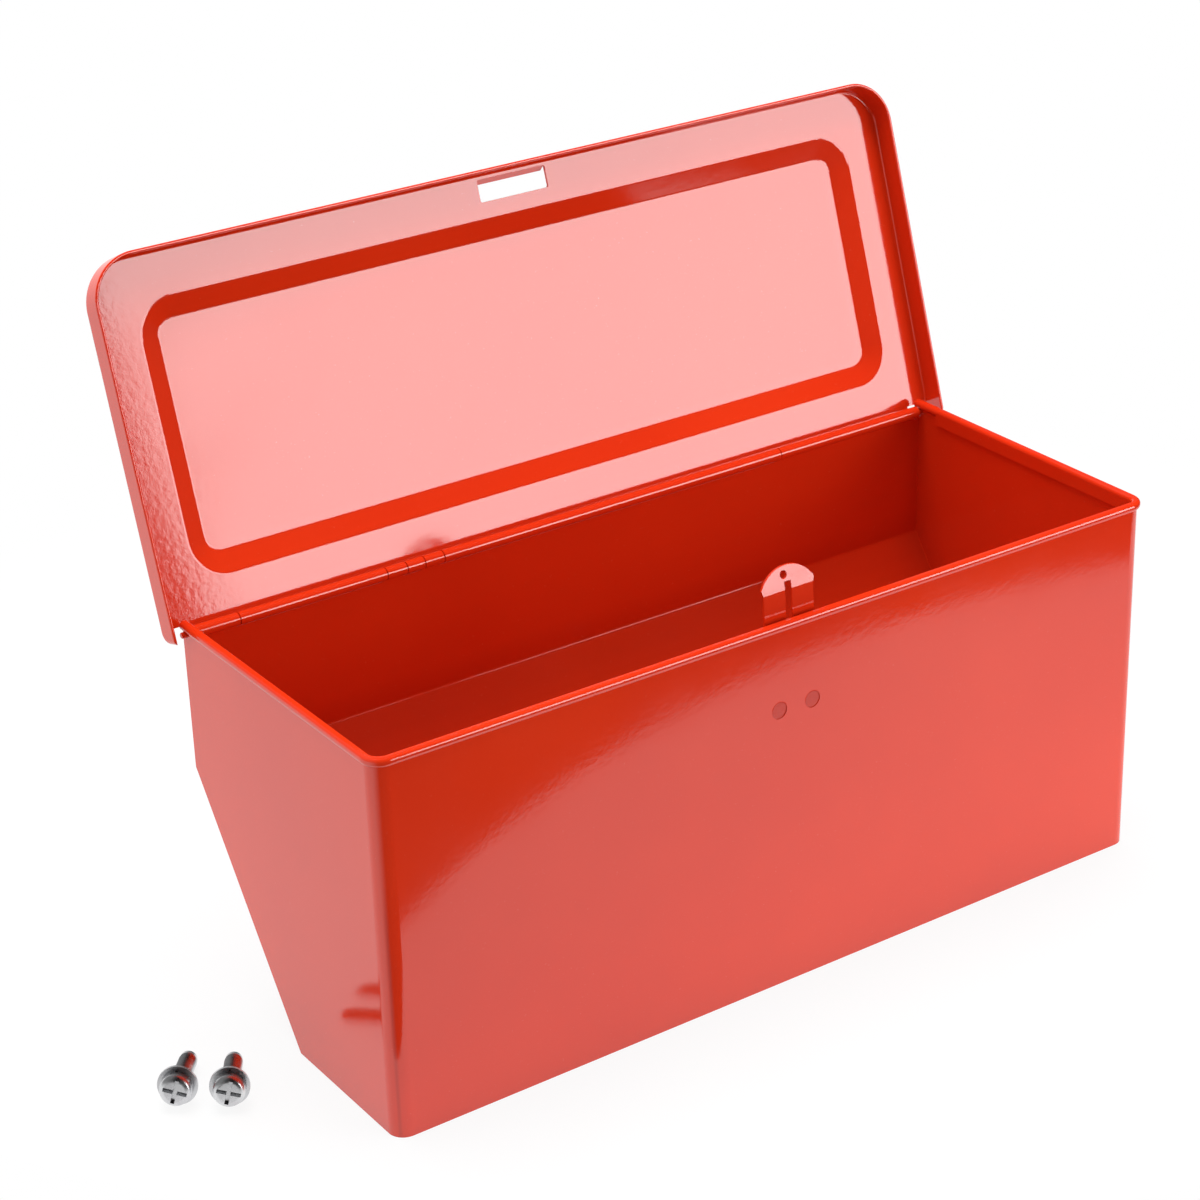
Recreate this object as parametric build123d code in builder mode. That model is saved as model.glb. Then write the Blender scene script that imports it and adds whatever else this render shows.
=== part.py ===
from build123d import *
import math
import os

# Box: outside sizes. X runs along the box, -Y is the front, +Z is up.
# The origin is midway between the two mounting holes, on the underside.
box_length = 330.0
box_depth = 128.0
box_height = 144.0
base_depth = 65.5
back_height = 57.0
sheet = 1.2
corner_r = 6.0
bend_r = 2.0

# Mounting holes in the bottom
hole_setback = 33.0
hole_spacing = 200.0
hole_r = 3.3

# Rolled and folded rim of the front and sides
bead_out = 1.2
bead_height = 3.4
bead_r = 1.6
leaf_depth = 6.5
leaf_back_gap = 12.0

# Hinge along the back
knuckle_r = 2.35
pin_r = 1.1
pin_clearance = 0.05
pin_wall_clearance = 0.12
pin_stand_out = 2.0
pin_chamfer = 0.25
hinge_drop = 4.2
barrel_end_gap = 1.8
knuckle_gap = 0.4
stop_gap = 0.3
open_lean = 17.5
# Knuckles in order from the left: box, lid, box, lid, box, lid, box
knuckle_breaks = [-144.7, -85.1, -76.7, -69.2, -61.1, 92.4]

# Lid, measured from the hinge axis: v towards its front edge, w into its pan
lid_side_gap = 4.8
lid_front_gap = 2.85
lid_shift = 0.6
plate_gap = 5.4
skirt_depth = 9.3
lid_front_r = 17.0
lid_front_flare = 1.3
lid_bend_r = 0.9
lid_rear_bend_r = 3.3
lip_edge_r = 0.5
flange_bottom = 3.6

# Raised panel of the lid
panel_side_margin = 17.5
panel_rear_margin = 15.5
panel_front_margin = 16.9
panel_slope = 7.8
panel_depth = 3.5
panel_corner_r = 14.0
panel_edge_r = 2.5

# Slot in the lid for the catch
latch_x = 3.0
slot_width = 29.6
slot_depth = 8.3
slot_front_margin = 2.6
slot_corner_r = 0.8
tab_reach = 1.5
tab_rise = 3.2

# Spring catch, welded inside the front wall
catch_sheet = 0.8
catch_width = 21.2
catch_head_width = 22.4
catch_bottom_z = 102.0
catch_pad_top_z = 118.0
catch_knee_z = 134.0
catch_knee_out = 2.25
catch_bend_z = 153.0
catch_bend_out = 3.0
catch_shoulder_z = 155.2
catch_top_z = 161.6
catch_top_out = 5.1
catch_bend_r = 2.5
catch_corner_r = 2.0
catch_slot_width = 2.9
catch_slot_bottom_z = 119.0
catch_slot_top_z = 156.2
catch_hole_r = 1.5
catch_hole_drop = 3.0
catch_hole_x = -1.2
weld_spacing = 14.4
weld_z = 110.6
weld_r = 3.2
weld_depth = 0.25

# Loose mounting screws, each with a spring washer and a flat washer
screw_length = 25.0
thread_r = 3.0
thread_chamfer = 0.7
head_r = 5.6
head_height = 4.2
head_crown_r = 2.0
recess_width = 1.4
recess_length = 8.4
recess_depth = 2.0
recess_turn = 15.0
flat_washer_r = 7.0
flat_washer_sheet = 1.2
spring_washer_r = 5.3
spring_washer_sheet = 1.5
spring_washer_gap = 0.9
washer_bore_r = 3.2
screw_places = {"left": (-216.7, 26.9, 53.2), "right": (-202.2, 15.4, 58.5)}

# Places that several pieces share
half_length = box_length / 2
front_y = -hole_setback
front_inner_y = front_y + sheet
back_y = front_y + box_depth
back_inner_y = back_y - sheet
base_back_y = front_y + base_depth
back_bend_z = box_height - back_height
side_inner_x = half_length - sheet
hinge_y = back_y - knuckle_r
hinge_z = box_height - hinge_drop
bore_r = pin_r + pin_clearance
barrel_half = side_inner_x - barrel_end_gap

lean = math.radians(open_lean)
plate_out = plate_gap + sheet
lip = skirt_depth - plate_gap
lid_length = hinge_y - front_y + bead_out + lid_front_gap + sheet
lid_width = box_length + 2 * (bead_out + lid_side_gap + sheet)

# The open lid's rear flange stops just over the back wall's notched edge
stop_z = hinge_z - (knuckle_r + knuckle_r * math.sin(lean)) / math.cos(lean)
notch_z = stop_z - stop_gap

# Ends of the box knuckles and of the lid knuckles
knuckle_ends = [-barrel_half] + knuckle_breaks + [barrel_half]
knuckles = [
    (left + knuckle_gap / 2, right - knuckle_gap / 2)
    for left, right in zip(knuckle_ends, knuckle_ends[1:])
]
box_knuckles = knuckles[0::2]
lid_knuckles = knuckles[1::2]

# Frames: the lid's own, and sections across the box
lid_plane = Plane(
    origin=(0, hinge_y, hinge_z), x_dir=(1, 0, 0), z_dir=(0, -math.cos(lean), math.sin(lean))
)
plan_r = corner_r - sheet / 2
os.makedirs("parts", exist_ok=True)


def section_plane(x):
    """Plane across the box at x, drawn in y and z."""
    return Plane.YZ.offset(x)


def wall_path(back_end_y, z):
    """Middle line of the side, front and side walls in plan, at height z."""
    x = half_length - sheet / 2
    y = front_y + sheet / 2
    return FilletPolyline((-x, back_end_y, z), (-x, y, z), (x, y, z), (x, back_end_y, z), radius=plan_r)


# Front and side walls: one U-shaped sheet with a folded and beaded rim
with BuildPart() as front_and_sides:
    with BuildSketch(Plane.XY):
        with BuildLine():
            wall_path(back_y, 0)
        trace(line_width=sheet)
    extrude(amount=box_height)
    with BuildSketch(section_plane(-half_length)):
        with BuildLine():
            Polyline(
                (front_y, 0),
                (base_back_y, 0),
                (back_y, back_bend_z),
                (back_y, box_height),
                (front_y, box_height),
                close=True,
            )
        make_face()
    extrude(amount=box_length, mode=Mode.INTERSECT)
    # Dimples of the two spot welds that hold the catch
    with BuildSketch(Plane.XZ.offset(-front_y)):
        with Locations((latch_x, weld_z)):
            with GridLocations(weld_spacing, 0, 2, 1):
                Circle(weld_r)
    extrude(amount=-weld_depth, mode=Mode.SUBTRACT)
    # Folded rim: a rolled bead around the top and a leaf turned down inside
    with BuildLine() as bead_path:
        wall_path(back_y, box_height)
    with BuildSketch(Plane(bead_path.line @ 0, x_dir=(-1, 0, 0), z_dir=bead_path.line % 0)):
        with Locations(((bead_out - sheet) / 2, bead_height / 2)):
            RectangleRounded(bead_out + 2 * sheet, bead_height, bead_r)
    sweep()
    with BuildLine() as leaf_path:
        wall_path(back_inner_y - leaf_back_gap, box_height)
    with BuildSketch(Plane(leaf_path.line @ 0, x_dir=(-1, 0, 0), z_dir=leaf_path.line % 0)):
        with Locations((-sheet, (bead_height / 2 + leaf_depth) / 2)):
            Rectangle(sheet, leaf_depth - bead_height / 2)
    sweep()
    # Holes that the hinge pin's ends pass through
    with BuildSketch(section_plane(-half_length - bead_out)):
        with Locations((hinge_y, hinge_z)):
            Circle(pin_r + pin_wall_clearance)
    extrude(amount=box_length + 2 * bead_out, mode=Mode.SUBTRACT)
front_and_sides.part.label = "front_and_side_panel"
export_step(front_and_sides.part, "parts/front_and_side_panel.step")


# Back and bottom: one bent sheet between the side walls, with the box's knuckles
slant = math.atan2(back_bend_z, back_y - base_back_y)
lower_shift = sheet / 2 * math.tan(slant / 2)
upper_shift = sheet / 2 * math.tan((math.pi / 2 - slant) / 2)
with BuildPart() as back_and_bottom:
    with BuildSketch(section_plane(-side_inner_x)):
        with BuildLine():
            FilletPolyline(
                (front_inner_y, sheet / 2),
                (base_back_y - lower_shift, sheet / 2),
                (back_y - sheet / 2, back_bend_z + upper_shift),
                (back_y - sheet / 2, notch_z),
                radius=bend_r + sheet / 2,
            )
        trace(line_width=sheet)
    extrude(amount=2 * side_inner_x)
    fillet(back_and_bottom.edges().filter_by(Axis.Z).group_by(Axis.Y)[0], corner_r - sheet)
    for left, right in box_knuckles:
        with BuildSketch(section_plane(left)):
            with Locations((back_y - sheet / 2, (notch_z + hinge_z) / 2)):
                Rectangle(sheet, hinge_z - notch_z)
            with Locations((hinge_y, hinge_z)):
                Circle(knuckle_r)
        extrude(amount=right - left)
    with BuildSketch(section_plane(-half_length)):
        with Locations((hinge_y, hinge_z)):
            Circle(bore_r)
    extrude(amount=box_length, mode=Mode.SUBTRACT)
    with BuildSketch(Plane.XY):
        with GridLocations(hole_spacing, 0, 2, 1):
            Circle(hole_r)
    extrude(amount=sheet, mode=Mode.SUBTRACT)
back_and_bottom.part.label = "back_and_bottom_panel"
export_step(back_and_bottom.part, "parts/back_and_bottom_panel.step")


# Lid: a shallow pressed pan with a raised panel, a catch slot and its own knuckles
lid_in = Axis(lid_plane.origin, lid_plane.z_dir)
lid_forward = Axis(lid_plane.origin, lid_plane.y_dir)
lid_left = lid_shift - lid_width / 2
lid_right = lid_shift + lid_width / 2
rear_bend_start = sheet - knuckle_r + lid_rear_bend_r
panel_front = lid_length - panel_front_margin
slot_front = lid_length - slot_front_margin
knuckle_limits = [x for span in lid_knuckles for x in span]
flange_limits = [-barrel_half] + knuckle_limits + [barrel_half]
flange_gaps = list(zip(flange_limits[0::2], flange_limits[1::2]))


def area(left, right, low, high):
    """Rectangle between two places in x and two in v."""
    with Locations(((left + right) / 2, (low + high) / 2)):
        outline = Rectangle(right - left, high - low)
    return outline


def pan_outline(inset, flare):
    """Plan outline of the pan, drawn in from its outer face by inset and out at the front by flare."""
    front = lid_length + flare - inset
    outline = area(lid_left + inset, lid_right - inset, inset - knuckle_r, front)
    fillet(outline.vertices().group_by(Axis.Y)[-1], lid_front_r - inset)


with BuildPart() as lid:
    # Outer body of the pan, then its hollow: the front skirt leans out towards its lip
    for inset, floor, mode in ((0, -plate_out, Mode.ADD), (sheet, -plate_gap, Mode.SUBTRACT)):
        for level in (floor, lip):
            with BuildSketch(lid_plane.offset(level)):
                pan_outline(inset, lid_front_flare * (level + plate_out) / (lip + plate_out))
        loft(mode=mode)
    levels = lid.faces().filter_by(lid_in).group_by(lid_in)
    outer_edges = levels[0][0].edges().sort_by(lid_forward)
    inner_edges = levels[1][0].edges().sort_by(lid_forward)
    fillet(outer_edges[0], lid_rear_bend_r + sheet)
    fillet(inner_edges[0], lid_rear_bend_r)
    levels = lid.faces().filter_by(lid_in).group_by(lid_in)
    fillet(levels[0][0].edges().sort_by(lid_forward)[1:], lid_bend_r + sheet)
    levels = lid.faces().filter_by(lid_in).group_by(lid_in)
    fillet(levels[1][0].edges().sort_by(lid_forward)[1:], lid_bend_r)
    # The sheet stops short of the rear edge past the barrel's ends
    with BuildSketch(lid_plane.offset(-plate_out)):
        area(lid_left + sheet, -barrel_half, -knuckle_r, rear_bend_start)
        area(barrel_half, lid_right - sheet, -knuckle_r, rear_bend_start)
    extrude(amount=plate_out + lip, mode=Mode.SUBTRACT)
    # Between them a low flange reaches down to the axis only at the lid's knuckles
    with BuildSketch(lid_plane):
        area(-barrel_half, barrel_half, -knuckle_r, rear_bend_start)
    extrude(amount=lip, mode=Mode.SUBTRACT)
    with BuildSketch(lid_plane.offset(-flange_bottom)):
        for left, right in flange_gaps:
            area(left, right, -knuckle_r, rear_bend_start)
    extrude(amount=flange_bottom, mode=Mode.SUBTRACT)
    for left, right in lid_knuckles:
        with BuildSketch(section_plane(left)):
            with Locations((hinge_y, hinge_z)):
                Circle(knuckle_r)
        extrude(amount=right - left)
    with BuildSketch(section_plane(-half_length)):
        with Locations((hinge_y, hinge_z)):
            Circle(bore_r)
    extrude(amount=box_length, mode=Mode.SUBTRACT)
    # Raised panel, from its foot to its crest: the sheet's outer face, then its inner face
    for level, mode in ((plate_out, Mode.ADD), (plate_gap, Mode.SUBTRACT)):
        for step in (0, 1):
            run = panel_slope * step
            with BuildSketch(lid_plane.offset(-level - panel_depth * step)):
                outline = area(
                    lid_left + panel_side_margin + run,
                    lid_right - panel_side_margin - run,
                    panel_rear_margin + run,
                    panel_front - run,
                )
                fillet(outline.vertices(), panel_corner_r - run)
        loft(mode=mode)
    levels = lid.faces().filter_by(lid_in).group_by(lid_in)
    crests = [face.outer_wire() for face in (levels[0][0], levels[1][0])]
    feet = [face.inner_wires()[0] for face in (levels[2][0], levels[3][0])]
    for outline in crests + feet:
        fillet(outline.edges(), panel_edge_r)
    with BuildSketch(lid_plane.offset(-plate_out)):
        slot = area(
            latch_x - slot_width / 2, latch_x + slot_width / 2, slot_front - slot_depth, slot_front
        )
        fillet(slot.vertices(), slot_corner_r)
    extrude(amount=sheet, mode=Mode.SUBTRACT)
    # Tab of the slot's cut-out, bent out behind it from its front edge
    tab_root_v = slot_front + sheet / 2
    tab_root_w = -(plate_gap + plate_out) / 2
    slot_section = Plane(
        origin=(latch_x - slot_width / 2, hinge_y, hinge_z),
        x_dir=(0, math.sin(lean), math.cos(lean)),
        z_dir=(1, 0, 0),
    )
    with BuildSketch(slot_section):
        with BuildLine():
            Line((tab_root_v, tab_root_w), (slot_front - tab_reach, tab_root_w - tab_rise))
        trace(line_width=sheet)
    extrude(amount=slot_width)
    # Rounded lip of the skirts
    lip_face = lid.faces().filter_by(lid_in).sort_by(lid_in)[-1]
    fillet(lip_face.edges().filter_by(GeomType.BSPLINE, reverse=True), lip_edge_r)
lid.part.label = "lid"
export_step(lid.part, "parts/lid.step")


# Hinge pin: a plain rod through all the knuckles and both side walls
pin_half = half_length + pin_stand_out
with BuildPart() as pin:
    with BuildSketch(section_plane(-pin_half)):
        with Locations((hinge_y, hinge_z)):
            Circle(pin_r)
    extrude(amount=2 * pin_half)
    chamfer(pin.edges(), pin_chamfer)
pin.part.label = "hinge_pin"
export_step(pin.part, "parts/hinge_pin.step")


# Catch: a leaf of spring steel, flat against the front wall, then leaning in and back
catch_y = front_inner_y + catch_sheet / 2
head_side = catch_head_width / 2
strap_side = catch_width / 2
with BuildPart() as catch:
    with BuildSketch(section_plane(latch_x - head_side)):
        with BuildLine():
            FilletPolyline(
                (catch_y, catch_bottom_z),
                (catch_y, catch_pad_top_z),
                (catch_y + catch_knee_out, catch_knee_z),
                (catch_y + catch_bend_out, catch_bend_z),
                (catch_y + catch_top_out, catch_top_z),
                radius=catch_bend_r,
            )
        trace(line_width=catch_sheet)
    extrude(amount=catch_head_width)
    # Face of the leaf: a straight strap, an arched head, a long slot and a padlock hole
    with BuildSketch(Plane.XZ.offset(-front_inner_y)):
        with BuildLine():
            Polyline(
                (latch_x - head_side, catch_shoulder_z),
                (latch_x - strap_side, catch_bend_z),
                (latch_x - strap_side, catch_bottom_z),
                (latch_x + strap_side, catch_bottom_z),
                (latch_x + strap_side, catch_bend_z),
                (latch_x + head_side, catch_shoulder_z),
            )
            ThreePointArc(
                (latch_x + head_side, catch_shoulder_z),
                (latch_x, catch_top_z),
                (latch_x - head_side, catch_shoulder_z),
            )
        leaf = make_face()
        fillet(leaf.vertices().group_by(Axis.Y)[0], catch_corner_r)
        with Locations((latch_x, (catch_slot_bottom_z + catch_slot_top_z) / 2)):
            Rectangle(catch_slot_width, catch_slot_top_z - catch_slot_bottom_z, mode=Mode.SUBTRACT)
        with Locations((latch_x + catch_hole_x, catch_top_z - catch_hole_drop)):
            Circle(catch_hole_r, mode=Mode.SUBTRACT)
    extrude(amount=-catch_top_out - 2 * catch_sheet, mode=Mode.INTERSECT)
catch.part.label = "catch_spring"
export_step(catch.part, "parts/catch_spring.step")


# Loose screws: each lies on the edge of its flat washer and on the end of its thread
stack = head_height + spring_washer_sheet + flat_washer_sheet
thread_rest = head_height + screw_length - thread_chamfer
tilt = math.atan2(flat_washer_r - thread_r, thread_rest - stack)
head_z = flat_washer_r * math.cos(tilt) + stack * math.sin(tilt)
for side, (head_x, head_y, degrees) in screw_places.items():
    heading = math.radians(degrees)
    screw_plane = Plane(
        origin=(head_x, head_y, head_z),
        x_dir=(-math.sin(heading), math.cos(heading), 0),
        z_dir=(
            math.cos(tilt) * math.cos(heading),
            math.cos(tilt) * math.sin(heading),
            -math.sin(tilt),
        ),
    )
    screw_axis = Axis(screw_plane.origin, screw_plane.z_dir)

    with BuildPart() as screw:
        with BuildSketch(screw_plane):
            Circle(head_r)
        extrude(amount=head_height)
        fillet(screw.edges().sort_by(screw_axis)[0], head_crown_r)
        with BuildSketch(screw_plane.offset(head_height)):
            Circle(thread_r)
        extrude(amount=screw_length)
        chamfer(screw.edges().sort_by(screw_axis)[-1], thread_chamfer)
        with BuildSketch(screw_plane):
            Rectangle(recess_length, recess_width, rotation=recess_turn)
            Rectangle(recess_width, recess_length, rotation=recess_turn)
        extrude(amount=recess_depth, mode=Mode.SUBTRACT)
    screw.part.label = f"mounting_screw_{side}"
    export_step(screw.part, f"parts/mounting_screw_{side}.step")

    with BuildPart() as spring_washer:
        with BuildSketch(screw_plane.offset(head_height)):
            Circle(spring_washer_r)
            Circle(washer_bore_r, mode=Mode.SUBTRACT)
            with Locations((0, spring_washer_r / 2)):
                Rectangle(spring_washer_gap, spring_washer_r, mode=Mode.SUBTRACT)
        extrude(amount=spring_washer_sheet)
    spring_washer.part.label = f"spring_washer_{side}"
    export_step(spring_washer.part, f"parts/spring_washer_{side}.step")

    with BuildPart() as flat_washer:
        with BuildSketch(screw_plane.offset(head_height + spring_washer_sheet)):
            Circle(flat_washer_r)
            Circle(washer_bore_r, mode=Mode.SUBTRACT)
        extrude(amount=flat_washer_sheet)
    flat_washer.part.label = f"flat_washer_{side}"
    export_step(flat_washer.part, f"parts/flat_washer_{side}.step")
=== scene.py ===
# Tractor tool box: looks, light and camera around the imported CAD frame. Everything is in metres.
import math

import bmesh
import bpy
from mathutils import Matrix, Vector


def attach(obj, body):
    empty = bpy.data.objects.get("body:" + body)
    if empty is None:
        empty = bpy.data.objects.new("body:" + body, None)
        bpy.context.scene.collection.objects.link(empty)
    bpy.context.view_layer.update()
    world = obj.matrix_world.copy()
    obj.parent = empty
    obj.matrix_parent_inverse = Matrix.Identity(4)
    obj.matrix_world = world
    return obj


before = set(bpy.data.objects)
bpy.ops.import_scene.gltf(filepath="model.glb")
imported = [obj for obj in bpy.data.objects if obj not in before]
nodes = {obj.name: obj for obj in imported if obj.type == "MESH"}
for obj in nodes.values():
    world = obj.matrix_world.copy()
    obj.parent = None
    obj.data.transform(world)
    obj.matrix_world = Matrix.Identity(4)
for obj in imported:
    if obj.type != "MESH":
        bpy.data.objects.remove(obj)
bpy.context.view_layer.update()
scene = bpy.context.scene

# Camera, from the photograph's vanishing points and the box's size
CAMERA_AZIMUTH = 33.88
CAMERA_ELEVATION = 25.45
CAMERA_ROLL = -1.79
CAMERA_DISTANCE = 0.984
CAMERA_TARGET = Vector((-0.0781, -0.033, 0.1746))
FOCAL_PIXELS = 3046.0
CENTRE_X = 598.0
IMAGE = 1200.0
SENSOR_WIDTH = 36.0

# Places on the part. Cavity limits are low, high and the soft edge's width, for each axis
FRONT_Y = -0.033
FRONT_SHEET = 0.0008
WELDS_X = (-0.0042, 0.0102)
WELD_Z = 0.1106
WELD_R = 0.0029
WELD_EDGE = 0.0005
CAVITY_X = (-0.1632, 0.1632, 0.0005)
CAVITY_Y = (-0.0315, 0.0943, 0.0005)
CAVITY_Z = (0.0012, 0.134, 0.002)
# Painted shade inside the box: full below the first height, fading out by the second
PAINTED_SHADE_FULL_Z = 0.080
PAINTED_SHADE_TOP_Z = 0.098

# Screws: side, place of the head, heading in degrees
SCREWS = (("left", (-0.2167, 0.0269), 53.2), ("right", (-0.2022, 0.0154), 58.5))
SCREW_TILT = 10.49
SCREW_HEAD_Z = 0.00814
SHANK_R = 0.003
THREAD_PITCH = 0.001
THREAD_HEIGHT = 0.00028
THREAD_SINK = 0.0001
THREAD_HALF_FOOT = 0.42
THREAD_START = 0.0075
THREAD_END = 0.0272
STEPS_PER_TURN = 32

# Colours
RED_DEEP = (0.650, 0.027, 0.0048)
RED_LIGHT = (0.710, 0.035, 0.0062)
WELD_RED = (0.30, 0.006, 0.002)
# Dark red of the painted shade low in the box
PAINTED_SHADE_RED = (0.27, 0.008, 0.003)
DUST_PINK = (0.80, 0.30, 0.22)
ZINC_DULL = (0.60, 0.60, 0.62)
ZINC_BRIGHT = (0.76, 0.77, 0.78)
PAPER = (0.82, 0.82, 0.82)
WHITE = (1.0, 1.0, 1.0)

# Surfaces
NOISE_RANGE = (0.3, 0.7)
PAINT_IOR = 1.70
PAINT_ROUGHNESS = (0.07, 0.12)
WELD_ROUGHNESS = 0.50
WELD_STAIN = 0.85
WELD_GRAIN = 14.0
# Share of the painted shade at the bottom of the box
PAINTED_SHADE_SHARE = 0.30
DUST_RANGE = (0.66, 0.74)
DUST_SHARE = 0.18
ZINC_ROUGHNESS = (0.24, 0.36)

# Studio. The floor is pure white from its far reach on, and keeps part of its shadow up to its near reach
FLOOR_CENTRE = (0.207, 0.318)
FLOOR_RADIUS = 0.556
FLOOR_NEAR = 0.22
FLOOR_FAR = 0.50
FLOOR_NEAR_WHITE = 0.88
TOWARD_BACK = (-0.64, 0.77, 0.0)
MIRRORED_RANGE = (-0.15, 0.45)
MIRRORED_IN_FRONT = 0.03
OVERHEAD_RANGE = (0.02, 0.30)
MIRRORED_OVERHEAD = 0.22
LIGHT_RANGE = (-0.50, 0.45)
LIGHT_IN_FRONT = 0.36
LIGHT_TARGET = Vector((0.0, 0.10, 0.20))


def new_material(name):
    """Empty node material with a Principled BSDF wired to its output."""
    material = bpy.data.materials.new(name)
    material.use_nodes = True
    tree = material.node_tree
    return material, tree.nodes, tree.links, tree.nodes["Principled BSDF"]


def feed(links, value, socket):
    """Sets a socket to a number or a colour, or links an output to it."""
    if isinstance(value, tuple):
        socket.default_value = (*value, 1.0)
    elif isinstance(value, float):
        socket.default_value = value
    else:
        links.new(value, socket)


def noise(nodes_, links, coords, scale, detail=2.0, roughness=0.5):
    """Noise texture on the object's own coordinates."""
    node = nodes_.new("ShaderNodeTexNoise")
    node.inputs["Scale"].default_value = scale
    node.inputs["Detail"].default_value = detail
    node.inputs["Roughness"].default_value = roughness
    links.new(coords, node.inputs["Vector"])
    return node.outputs["Fac"]


def spread(nodes_, links, value, low, high, to_low, to_high):
    """Maps a value from one range to another, held at the ends."""
    node = nodes_.new("ShaderNodeMapRange")
    for key, number in (("From Min", low), ("From Max", high), ("To Min", to_low), ("To Max", to_high)):
        node.inputs[key].default_value = number
    links.new(value, node.inputs["Value"])
    return node.outputs["Result"]


def blend(nodes_, links, kind, factor, a, b):
    """Mix of two values (kind FLOAT) or of two colours (kind RGBA)."""
    node = nodes_.new("ShaderNodeMix")
    node.data_type = kind
    for key, value in (("Factor", factor), ("A", a), ("B", b)):
        feed(links, value, node.inputs[key])
    return node.outputs["Result"]


def combine(nodes_, links, operation, a, b):
    """Sum, product or maximum of two values."""
    node = nodes_.new("ShaderNodeMath")
    node.operation = operation
    for index, value in enumerate((a, b)):
        feed(links, value, node.inputs[index])
    return node.outputs[0]


def product(nodes_, links, a, b):
    """Product of two values."""
    return combine(nodes_, links, "MULTIPLY", a, b)


def measure(nodes_, links, operation, coords, vector):
    """Distance from a fixed point, or dot product with a fixed vector."""
    node = nodes_.new("ShaderNodeVectorMath")
    node.operation = operation
    links.new(coords, node.inputs[0])
    node.inputs[1].default_value = vector
    return node.outputs["Value"]


def inside(nodes_, links, axis_value, low, high, edge):
    """1 between low and high, fading to 0 over the edge's width."""
    rise = spread(nodes_, links, axis_value, low - edge, low, 0.0, 1.0)
    fall = spread(nodes_, links, axis_value, high, high + edge, 1.0, 0.0)
    return product(nodes_, links, rise, fall)


def add_bump(nodes_, links, shader, height, depth, strength):
    """Bump of a height value on the shader's normal."""
    node = nodes_.new("ShaderNodeBump")
    node.inputs["Distance"].default_value = depth
    node.inputs["Strength"].default_value = strength
    links.new(height, node.inputs["Height"])
    links.new(node.outputs["Normal"], shader.inputs["Normal"])


def red_enamel(name):
    """Glossy red paint on sheet steel: orange peel, shifts of tone, dust, weld marks, painted shade low in
    the box.
    """
    material, ns, ls, shader = new_material(name)
    coords = ns.new("ShaderNodeTexCoord").outputs["Object"]
    split = ns.new("ShaderNodeSeparateXYZ")
    ls.new(coords, split.inputs[0])
    x, y, z = (split.outputs[axis] for axis in "XYZ")
    tone = spread(ns, ls, noise(ns, ls, coords, scale=9.0, detail=3.0), *NOISE_RANGE, 0.0, 1.0)
    body = blend(ns, ls, "RGBA", tone, RED_DEEP, RED_LIGHT)
    # Discoloured discs of the catch's two spot welds on the front wall
    front_face = spread(ns, ls, y, FRONT_Y - WELD_EDGE, FRONT_Y + FRONT_SHEET, 1.0, 0.0)
    discs = []
    for weld_x in WELDS_X:
        gap = measure(ns, ls, "DISTANCE", coords, (weld_x, FRONT_Y, WELD_Z))
        disc = spread(ns, ls, gap, WELD_R, WELD_R + WELD_EDGE, 1.0, 0.0)
        discs.append(product(ns, ls, disc, front_face))
    welds = combine(ns, ls, "ADD", *discs)
    body = blend(ns, ls, "RGBA", product(ns, ls, welds, WELD_STAIN), body, WELD_RED)
    # Painted shade: the red darkens low inside the box, standing in for shade on the lower walls and floor
    cavity = product(ns, ls, inside(ns, ls, x, *CAVITY_X), inside(ns, ls, y, *CAVITY_Y))
    cavity = product(ns, ls, cavity, inside(ns, ls, z, *CAVITY_Z))
    painted_shade = product(ns, ls, spread(ns, ls, z, PAINTED_SHADE_FULL_Z, PAINTED_SHADE_TOP_Z, PAINTED_SHADE_SHARE, 0.0), cavity)
    body = blend(ns, ls, "RGBA", painted_shade, body, PAINTED_SHADE_RED)
    # Dust specks
    dust = noise(ns, ls, coords, scale=900.0, detail=4.0, roughness=0.7)
    dust = spread(ns, ls, dust, *DUST_RANGE, 0.0, DUST_SHARE)
    ls.new(blend(ns, ls, "RGBA", dust, body, DUST_PINK), shader.inputs["Base Color"])
    # Gloss, dull on the welds
    gloss = spread(ns, ls, noise(ns, ls, coords, scale=30.0, detail=4.0), *NOISE_RANGE, *PAINT_ROUGHNESS)
    ls.new(blend(ns, ls, "FLOAT", welds, gloss, WELD_ROUGHNESS), shader.inputs["Roughness"])
    shader.inputs["IOR"].default_value = PAINT_IOR
    # Orange peel, and a finer and deeper grain on the welds
    peel = noise(ns, ls, coords, scale=420.0)
    grain = product(ns, ls, product(ns, ls, welds, WELD_GRAIN), noise(ns, ls, coords, scale=1500.0))
    add_bump(ns, ls, shader, combine(ns, ls, "ADD", peel, grain), depth=0.00004, strength=0.45)
    return material


def zinc(name):
    """Bright zinc plate with faint cloudiness and a fine grain."""
    material, ns, ls, shader = new_material(name)
    coords = ns.new("ShaderNodeTexCoord").outputs["Object"]
    cloud = spread(ns, ls, noise(ns, ls, coords, scale=260.0, detail=4.0), *NOISE_RANGE, 0.0, 1.0)
    ls.new(blend(ns, ls, "RGBA", cloud, ZINC_DULL, ZINC_BRIGHT), shader.inputs["Base Color"])
    shader.inputs["Metallic"].default_value = 1.0
    ls.new(spread(ns, ls, cloud, 0.0, 1.0, *ZINC_ROUGHNESS), shader.inputs["Roughness"])
    grain = noise(ns, ls, coords, scale=1800.0, detail=3.0)
    add_bump(ns, ls, shader, grain, depth=0.00003, strength=0.5)
    return material


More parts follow.
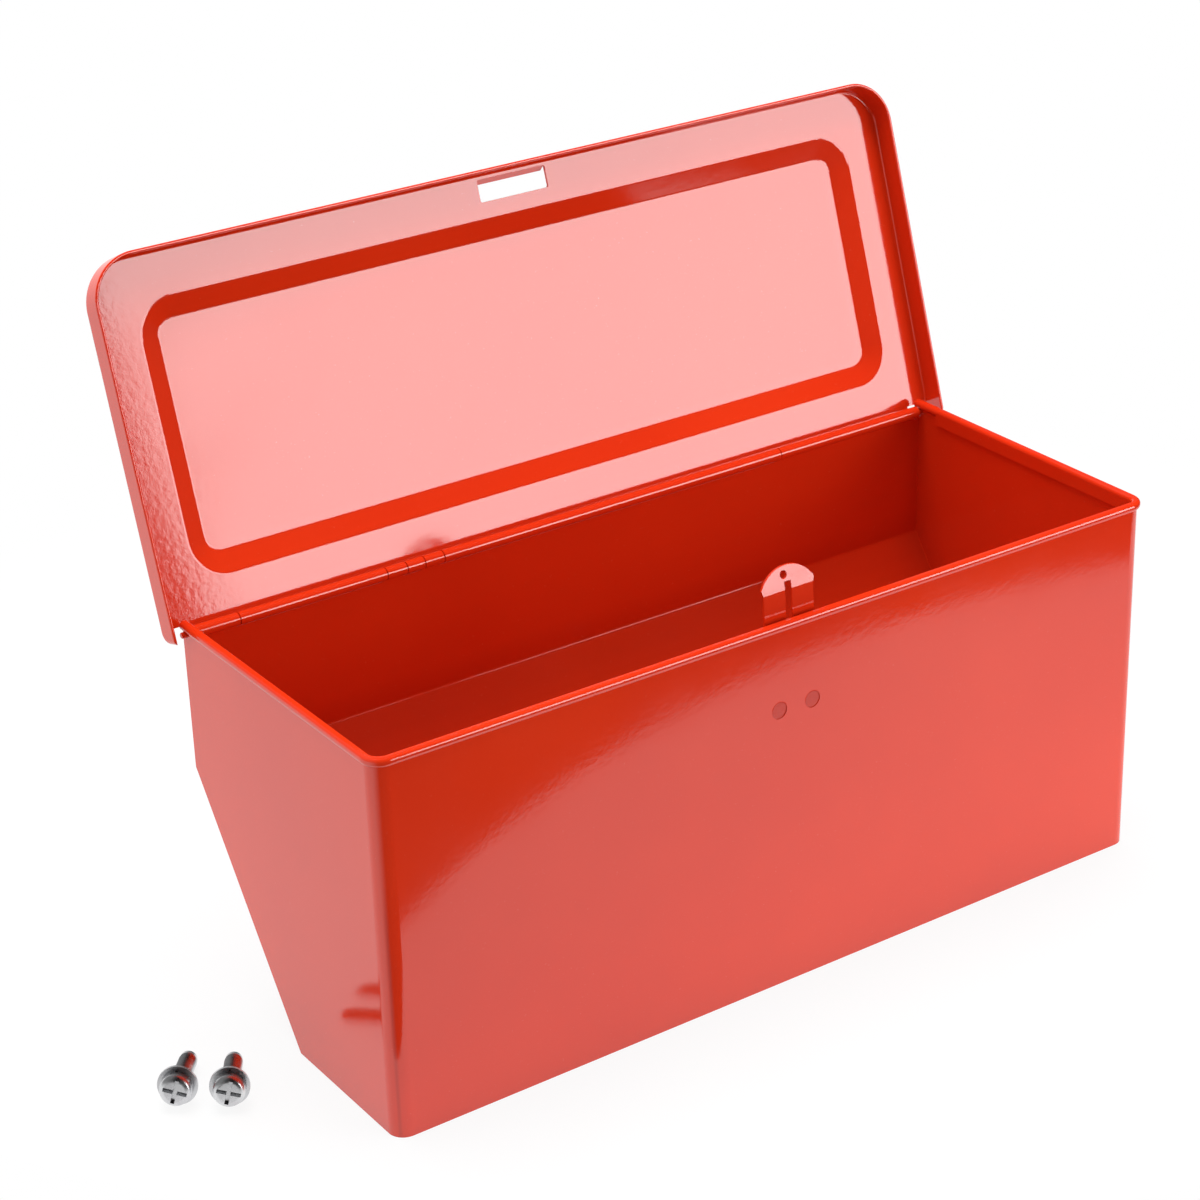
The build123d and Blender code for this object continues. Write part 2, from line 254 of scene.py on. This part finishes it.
def thread(name, body, place, heading, look):
    """Helical ridge of a screw thread, wound on the plain shank of the CAD screw."""
    turn, tilt = math.radians(heading), math.radians(SCREW_TILT)
    axis = Vector((math.cos(tilt) * math.cos(turn), math.cos(tilt) * math.sin(turn), -math.sin(tilt)))
    side = Vector((-math.sin(turn), math.cos(turn), 0.0))
    third = axis.cross(side)
    head = Vector((*place, SCREW_HEAD_Z))
    foot_r = SHANK_R - THREAD_SINK
    steps = int((THREAD_END - THREAD_START) / THREAD_PITCH * STEPS_PER_TURN)
    mesh = bmesh.new()
    rings = []
    for step in range(steps + 1):
        angle = 2.0 * math.pi * step / STEPS_PER_TURN
        outward = side * math.cos(angle) + third * math.sin(angle)
        centre = head + axis * (THREAD_START + THREAD_PITCH * step / STEPS_PER_TURN)
        grow = min(1.0, step / STEPS_PER_TURN, (steps - step) / STEPS_PER_TURN)
        crest_r = SHANK_R + THREAD_HEIGHT * grow
        rings.append(
            [
                mesh.verts.new(centre + outward * foot_r - axis * THREAD_PITCH * THREAD_HALF_FOOT),
                mesh.verts.new(centre + outward * crest_r),
                mesh.verts.new(centre + outward * foot_r + axis * THREAD_PITCH * THREAD_HALF_FOOT),
            ]
        )
    for before, after in zip(rings, rings[1:]):
        for k in range(3):
            mesh.faces.new((before[k], before[(k + 1) % 3], after[(k + 1) % 3], after[k]))
    mesh.faces.new(rings[0])
    mesh.faces.new(rings[-1])
    bmesh.ops.recalc_face_normals(mesh, faces=mesh.faces)
    data = bpy.data.meshes.new(name)
    mesh.to_mesh(data)
    mesh.free()
    data.materials.append(look)
    piece = bpy.data.objects.new(name, data)
    scene.collection.objects.link(piece)
    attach(piece, body)


def white_paper(name):
    """White paper whose glow, for camera, mirrors and glass, keeps part of the shadow near the box."""
    material, ns, ls, shader = new_material(name)
    ns.remove(shader)
    diffuse = ns.new("ShaderNodeBsdfDiffuse")
    diffuse.inputs["Color"].default_value = (*PAPER, 1.0)
    glow = ns.new("ShaderNodeEmission")
    glow.inputs["Color"].default_value = (*WHITE, 1.0)
    glow.inputs["Strength"].default_value = 1.0
    coords = ns.new("ShaderNodeTexCoord").outputs["Object"]
    reach = measure(ns, ls, "DISTANCE", coords, (-FLOOR_CENTRE[0], -FLOOR_CENTRE[1], 0.0))
    white_share = spread(ns, ls, reach, FLOOR_NEAR, FLOOR_FAR, FLOOR_NEAR_WHITE, 1.0)
    path = ns.new("ShaderNodeLightPath")
    seen = path.outputs["Is Camera Ray"]
    for kind in ("Is Glossy Ray", "Is Transmission Ray"):
        seen = combine(ns, ls, "MAXIMUM", seen, path.outputs[kind])
    mix = ns.new("ShaderNodeMixShader")
    ls.new(product(ns, ls, seen, white_share), mix.inputs["Fac"])
    ls.new(diffuse.outputs[0], mix.inputs[1])
    ls.new(glow.outputs[0], mix.inputs[2])
    ls.new(mix.outputs[0], ns["Material Output"].inputs["Surface"])
    return material


def studio_world(name):
    """World, white to the camera and behind the box. Mirrored rays see it dim in front and overhead."""
    world = bpy.data.worlds.new(name)
    world.use_nodes = True
    ns, ls = world.node_tree.nodes, world.node_tree.links
    ns.clear()
    direction = ns.new("ShaderNodeTexCoord").outputs["Generated"]
    toward_back = measure(ns, ls, "DOT_PRODUCT", direction, TOWARD_BACK)
    split = ns.new("ShaderNodeSeparateXYZ")
    ls.new(direction, split.inputs[0])
    around = spread(ns, ls, toward_back, *MIRRORED_RANGE, MIRRORED_IN_FRONT, 1.0)
    above = spread(ns, ls, split.outputs["Z"], *OVERHEAD_RANGE, 1.0, MIRRORED_OVERHEAD)
    mirrored = product(ns, ls, around, above)
    lighting = spread(ns, ls, toward_back, *LIGHT_RANGE, LIGHT_IN_FRONT, 1.0)
    path = ns.new("ShaderNodeLightPath")
    room = blend(ns, ls, "FLOAT", path.outputs["Is Diffuse Ray"], mirrored, lighting)
    level = blend(ns, ls, "FLOAT", path.outputs["Is Camera Ray"], room, 1.0)
    background = ns.new("ShaderNodeBackground")
    background.inputs["Color"].default_value = (*WHITE, 1.0)
    ls.new(level, background.inputs["Strength"])
    out = ns.new("ShaderNodeOutputWorld")
    ls.new(background.outputs[0], out.inputs["Surface"])
    return world


def softbox(name, azimuth, elevation, distance, width, height, radiance):
    """Area lamp aimed at the box. Azimuth runs from the front (-Y) towards +X, in degrees."""
    data = bpy.data.lights.new(name, "AREA")
    data.shape = "RECTANGLE"
    data.size = width
    data.size_y = height
    data.energy = math.pi * width * height * radiance
    lamp = bpy.data.objects.new(name, data)
    scene.collection.objects.link(lamp)
    a, e = math.radians(azimuth), math.radians(elevation)
    toward = Vector((math.sin(a) * math.cos(e), -math.cos(a) * math.cos(e), math.sin(e)))
    lamp.location = LIGHT_TARGET + toward * distance
    lamp.rotation_euler = toward.to_track_quat("Z", "Y").to_euler()
    lamp.visible_camera = False
    return lamp


def photo_camera(name):
    """Camera at the photograph's place. Azimuth runs from the front (-Y) towards -X, in degrees."""
    azimuth, elevation, roll = (math.radians(v) for v in (CAMERA_AZIMUTH, CAMERA_ELEVATION, CAMERA_ROLL))
    back = Vector(
        (
            -math.sin(azimuth) * math.cos(elevation),
            -math.cos(azimuth) * math.cos(elevation),
            math.sin(elevation),
        )
    )
    right = (-back).cross(Vector((0.0, 0.0, 1.0))).normalized()
    up = right.cross(-back)
    right, up = (
        right * math.cos(roll) + up * math.sin(roll),
        up * math.cos(roll) - right * math.sin(roll),
    )
    data = bpy.data.cameras.new(name)
    data.sensor_width = SENSOR_WIDTH
    data.lens = SENSOR_WIDTH * FOCAL_PIXELS / IMAGE
    data.shift_x = (IMAGE / 2 - CENTRE_X) / IMAGE
    camera = bpy.data.objects.new(name, data)
    scene.collection.objects.link(camera)
    axes = Matrix((right, up, back)).transposed()
    camera.matrix_world = Matrix.Translation(CAMERA_TARGET + back * CAMERA_DISTANCE) @ axes.to_4x4()
    return camera


# Looks of the CAD pieces, and the thread ridges
enamel = red_enamel("red_enamel_look")
plated = zinc("zinc_plate_look")
for name, node in nodes.items():
    look = plated if name.startswith(("mounting_screw", "spring_washer", "flat_washer")) else enamel
    for slot in node.material_slots:
        slot.material = look
for side_name, place, heading in SCREWS:
    thread(f"thread_{side_name}", f"screw_{side_name}", place, heading, plated)

# Floor: a round white table top
bpy.ops.mesh.primitive_circle_add(
    vertices=256, radius=FLOOR_RADIUS, fill_type="NGON", location=(*FLOOR_CENTRE, 0.0)
)
floor = bpy.context.object
floor.name = "floor"
floor.data.materials.append(white_paper("floor_white"))

# Light and camera. The overhead lamp lights the box without showing in its gloss
scene.world = studio_world("studio")
softbox(
    "softbox_front_right",
    azimuth=33.2,
    elevation=7.0,
    distance=1.31,
    width=0.742,
    height=0.585,
    radiance=5.7,
)
overhead = softbox(
    "overhead", azimuth=150.0, elevation=84.0, distance=1.3, width=1.3, height=1.0, radiance=6.3
)
overhead.visible_glossy = False
scene.camera = photo_camera("photo_camera")
scene.view_settings.view_transform = "Standard"
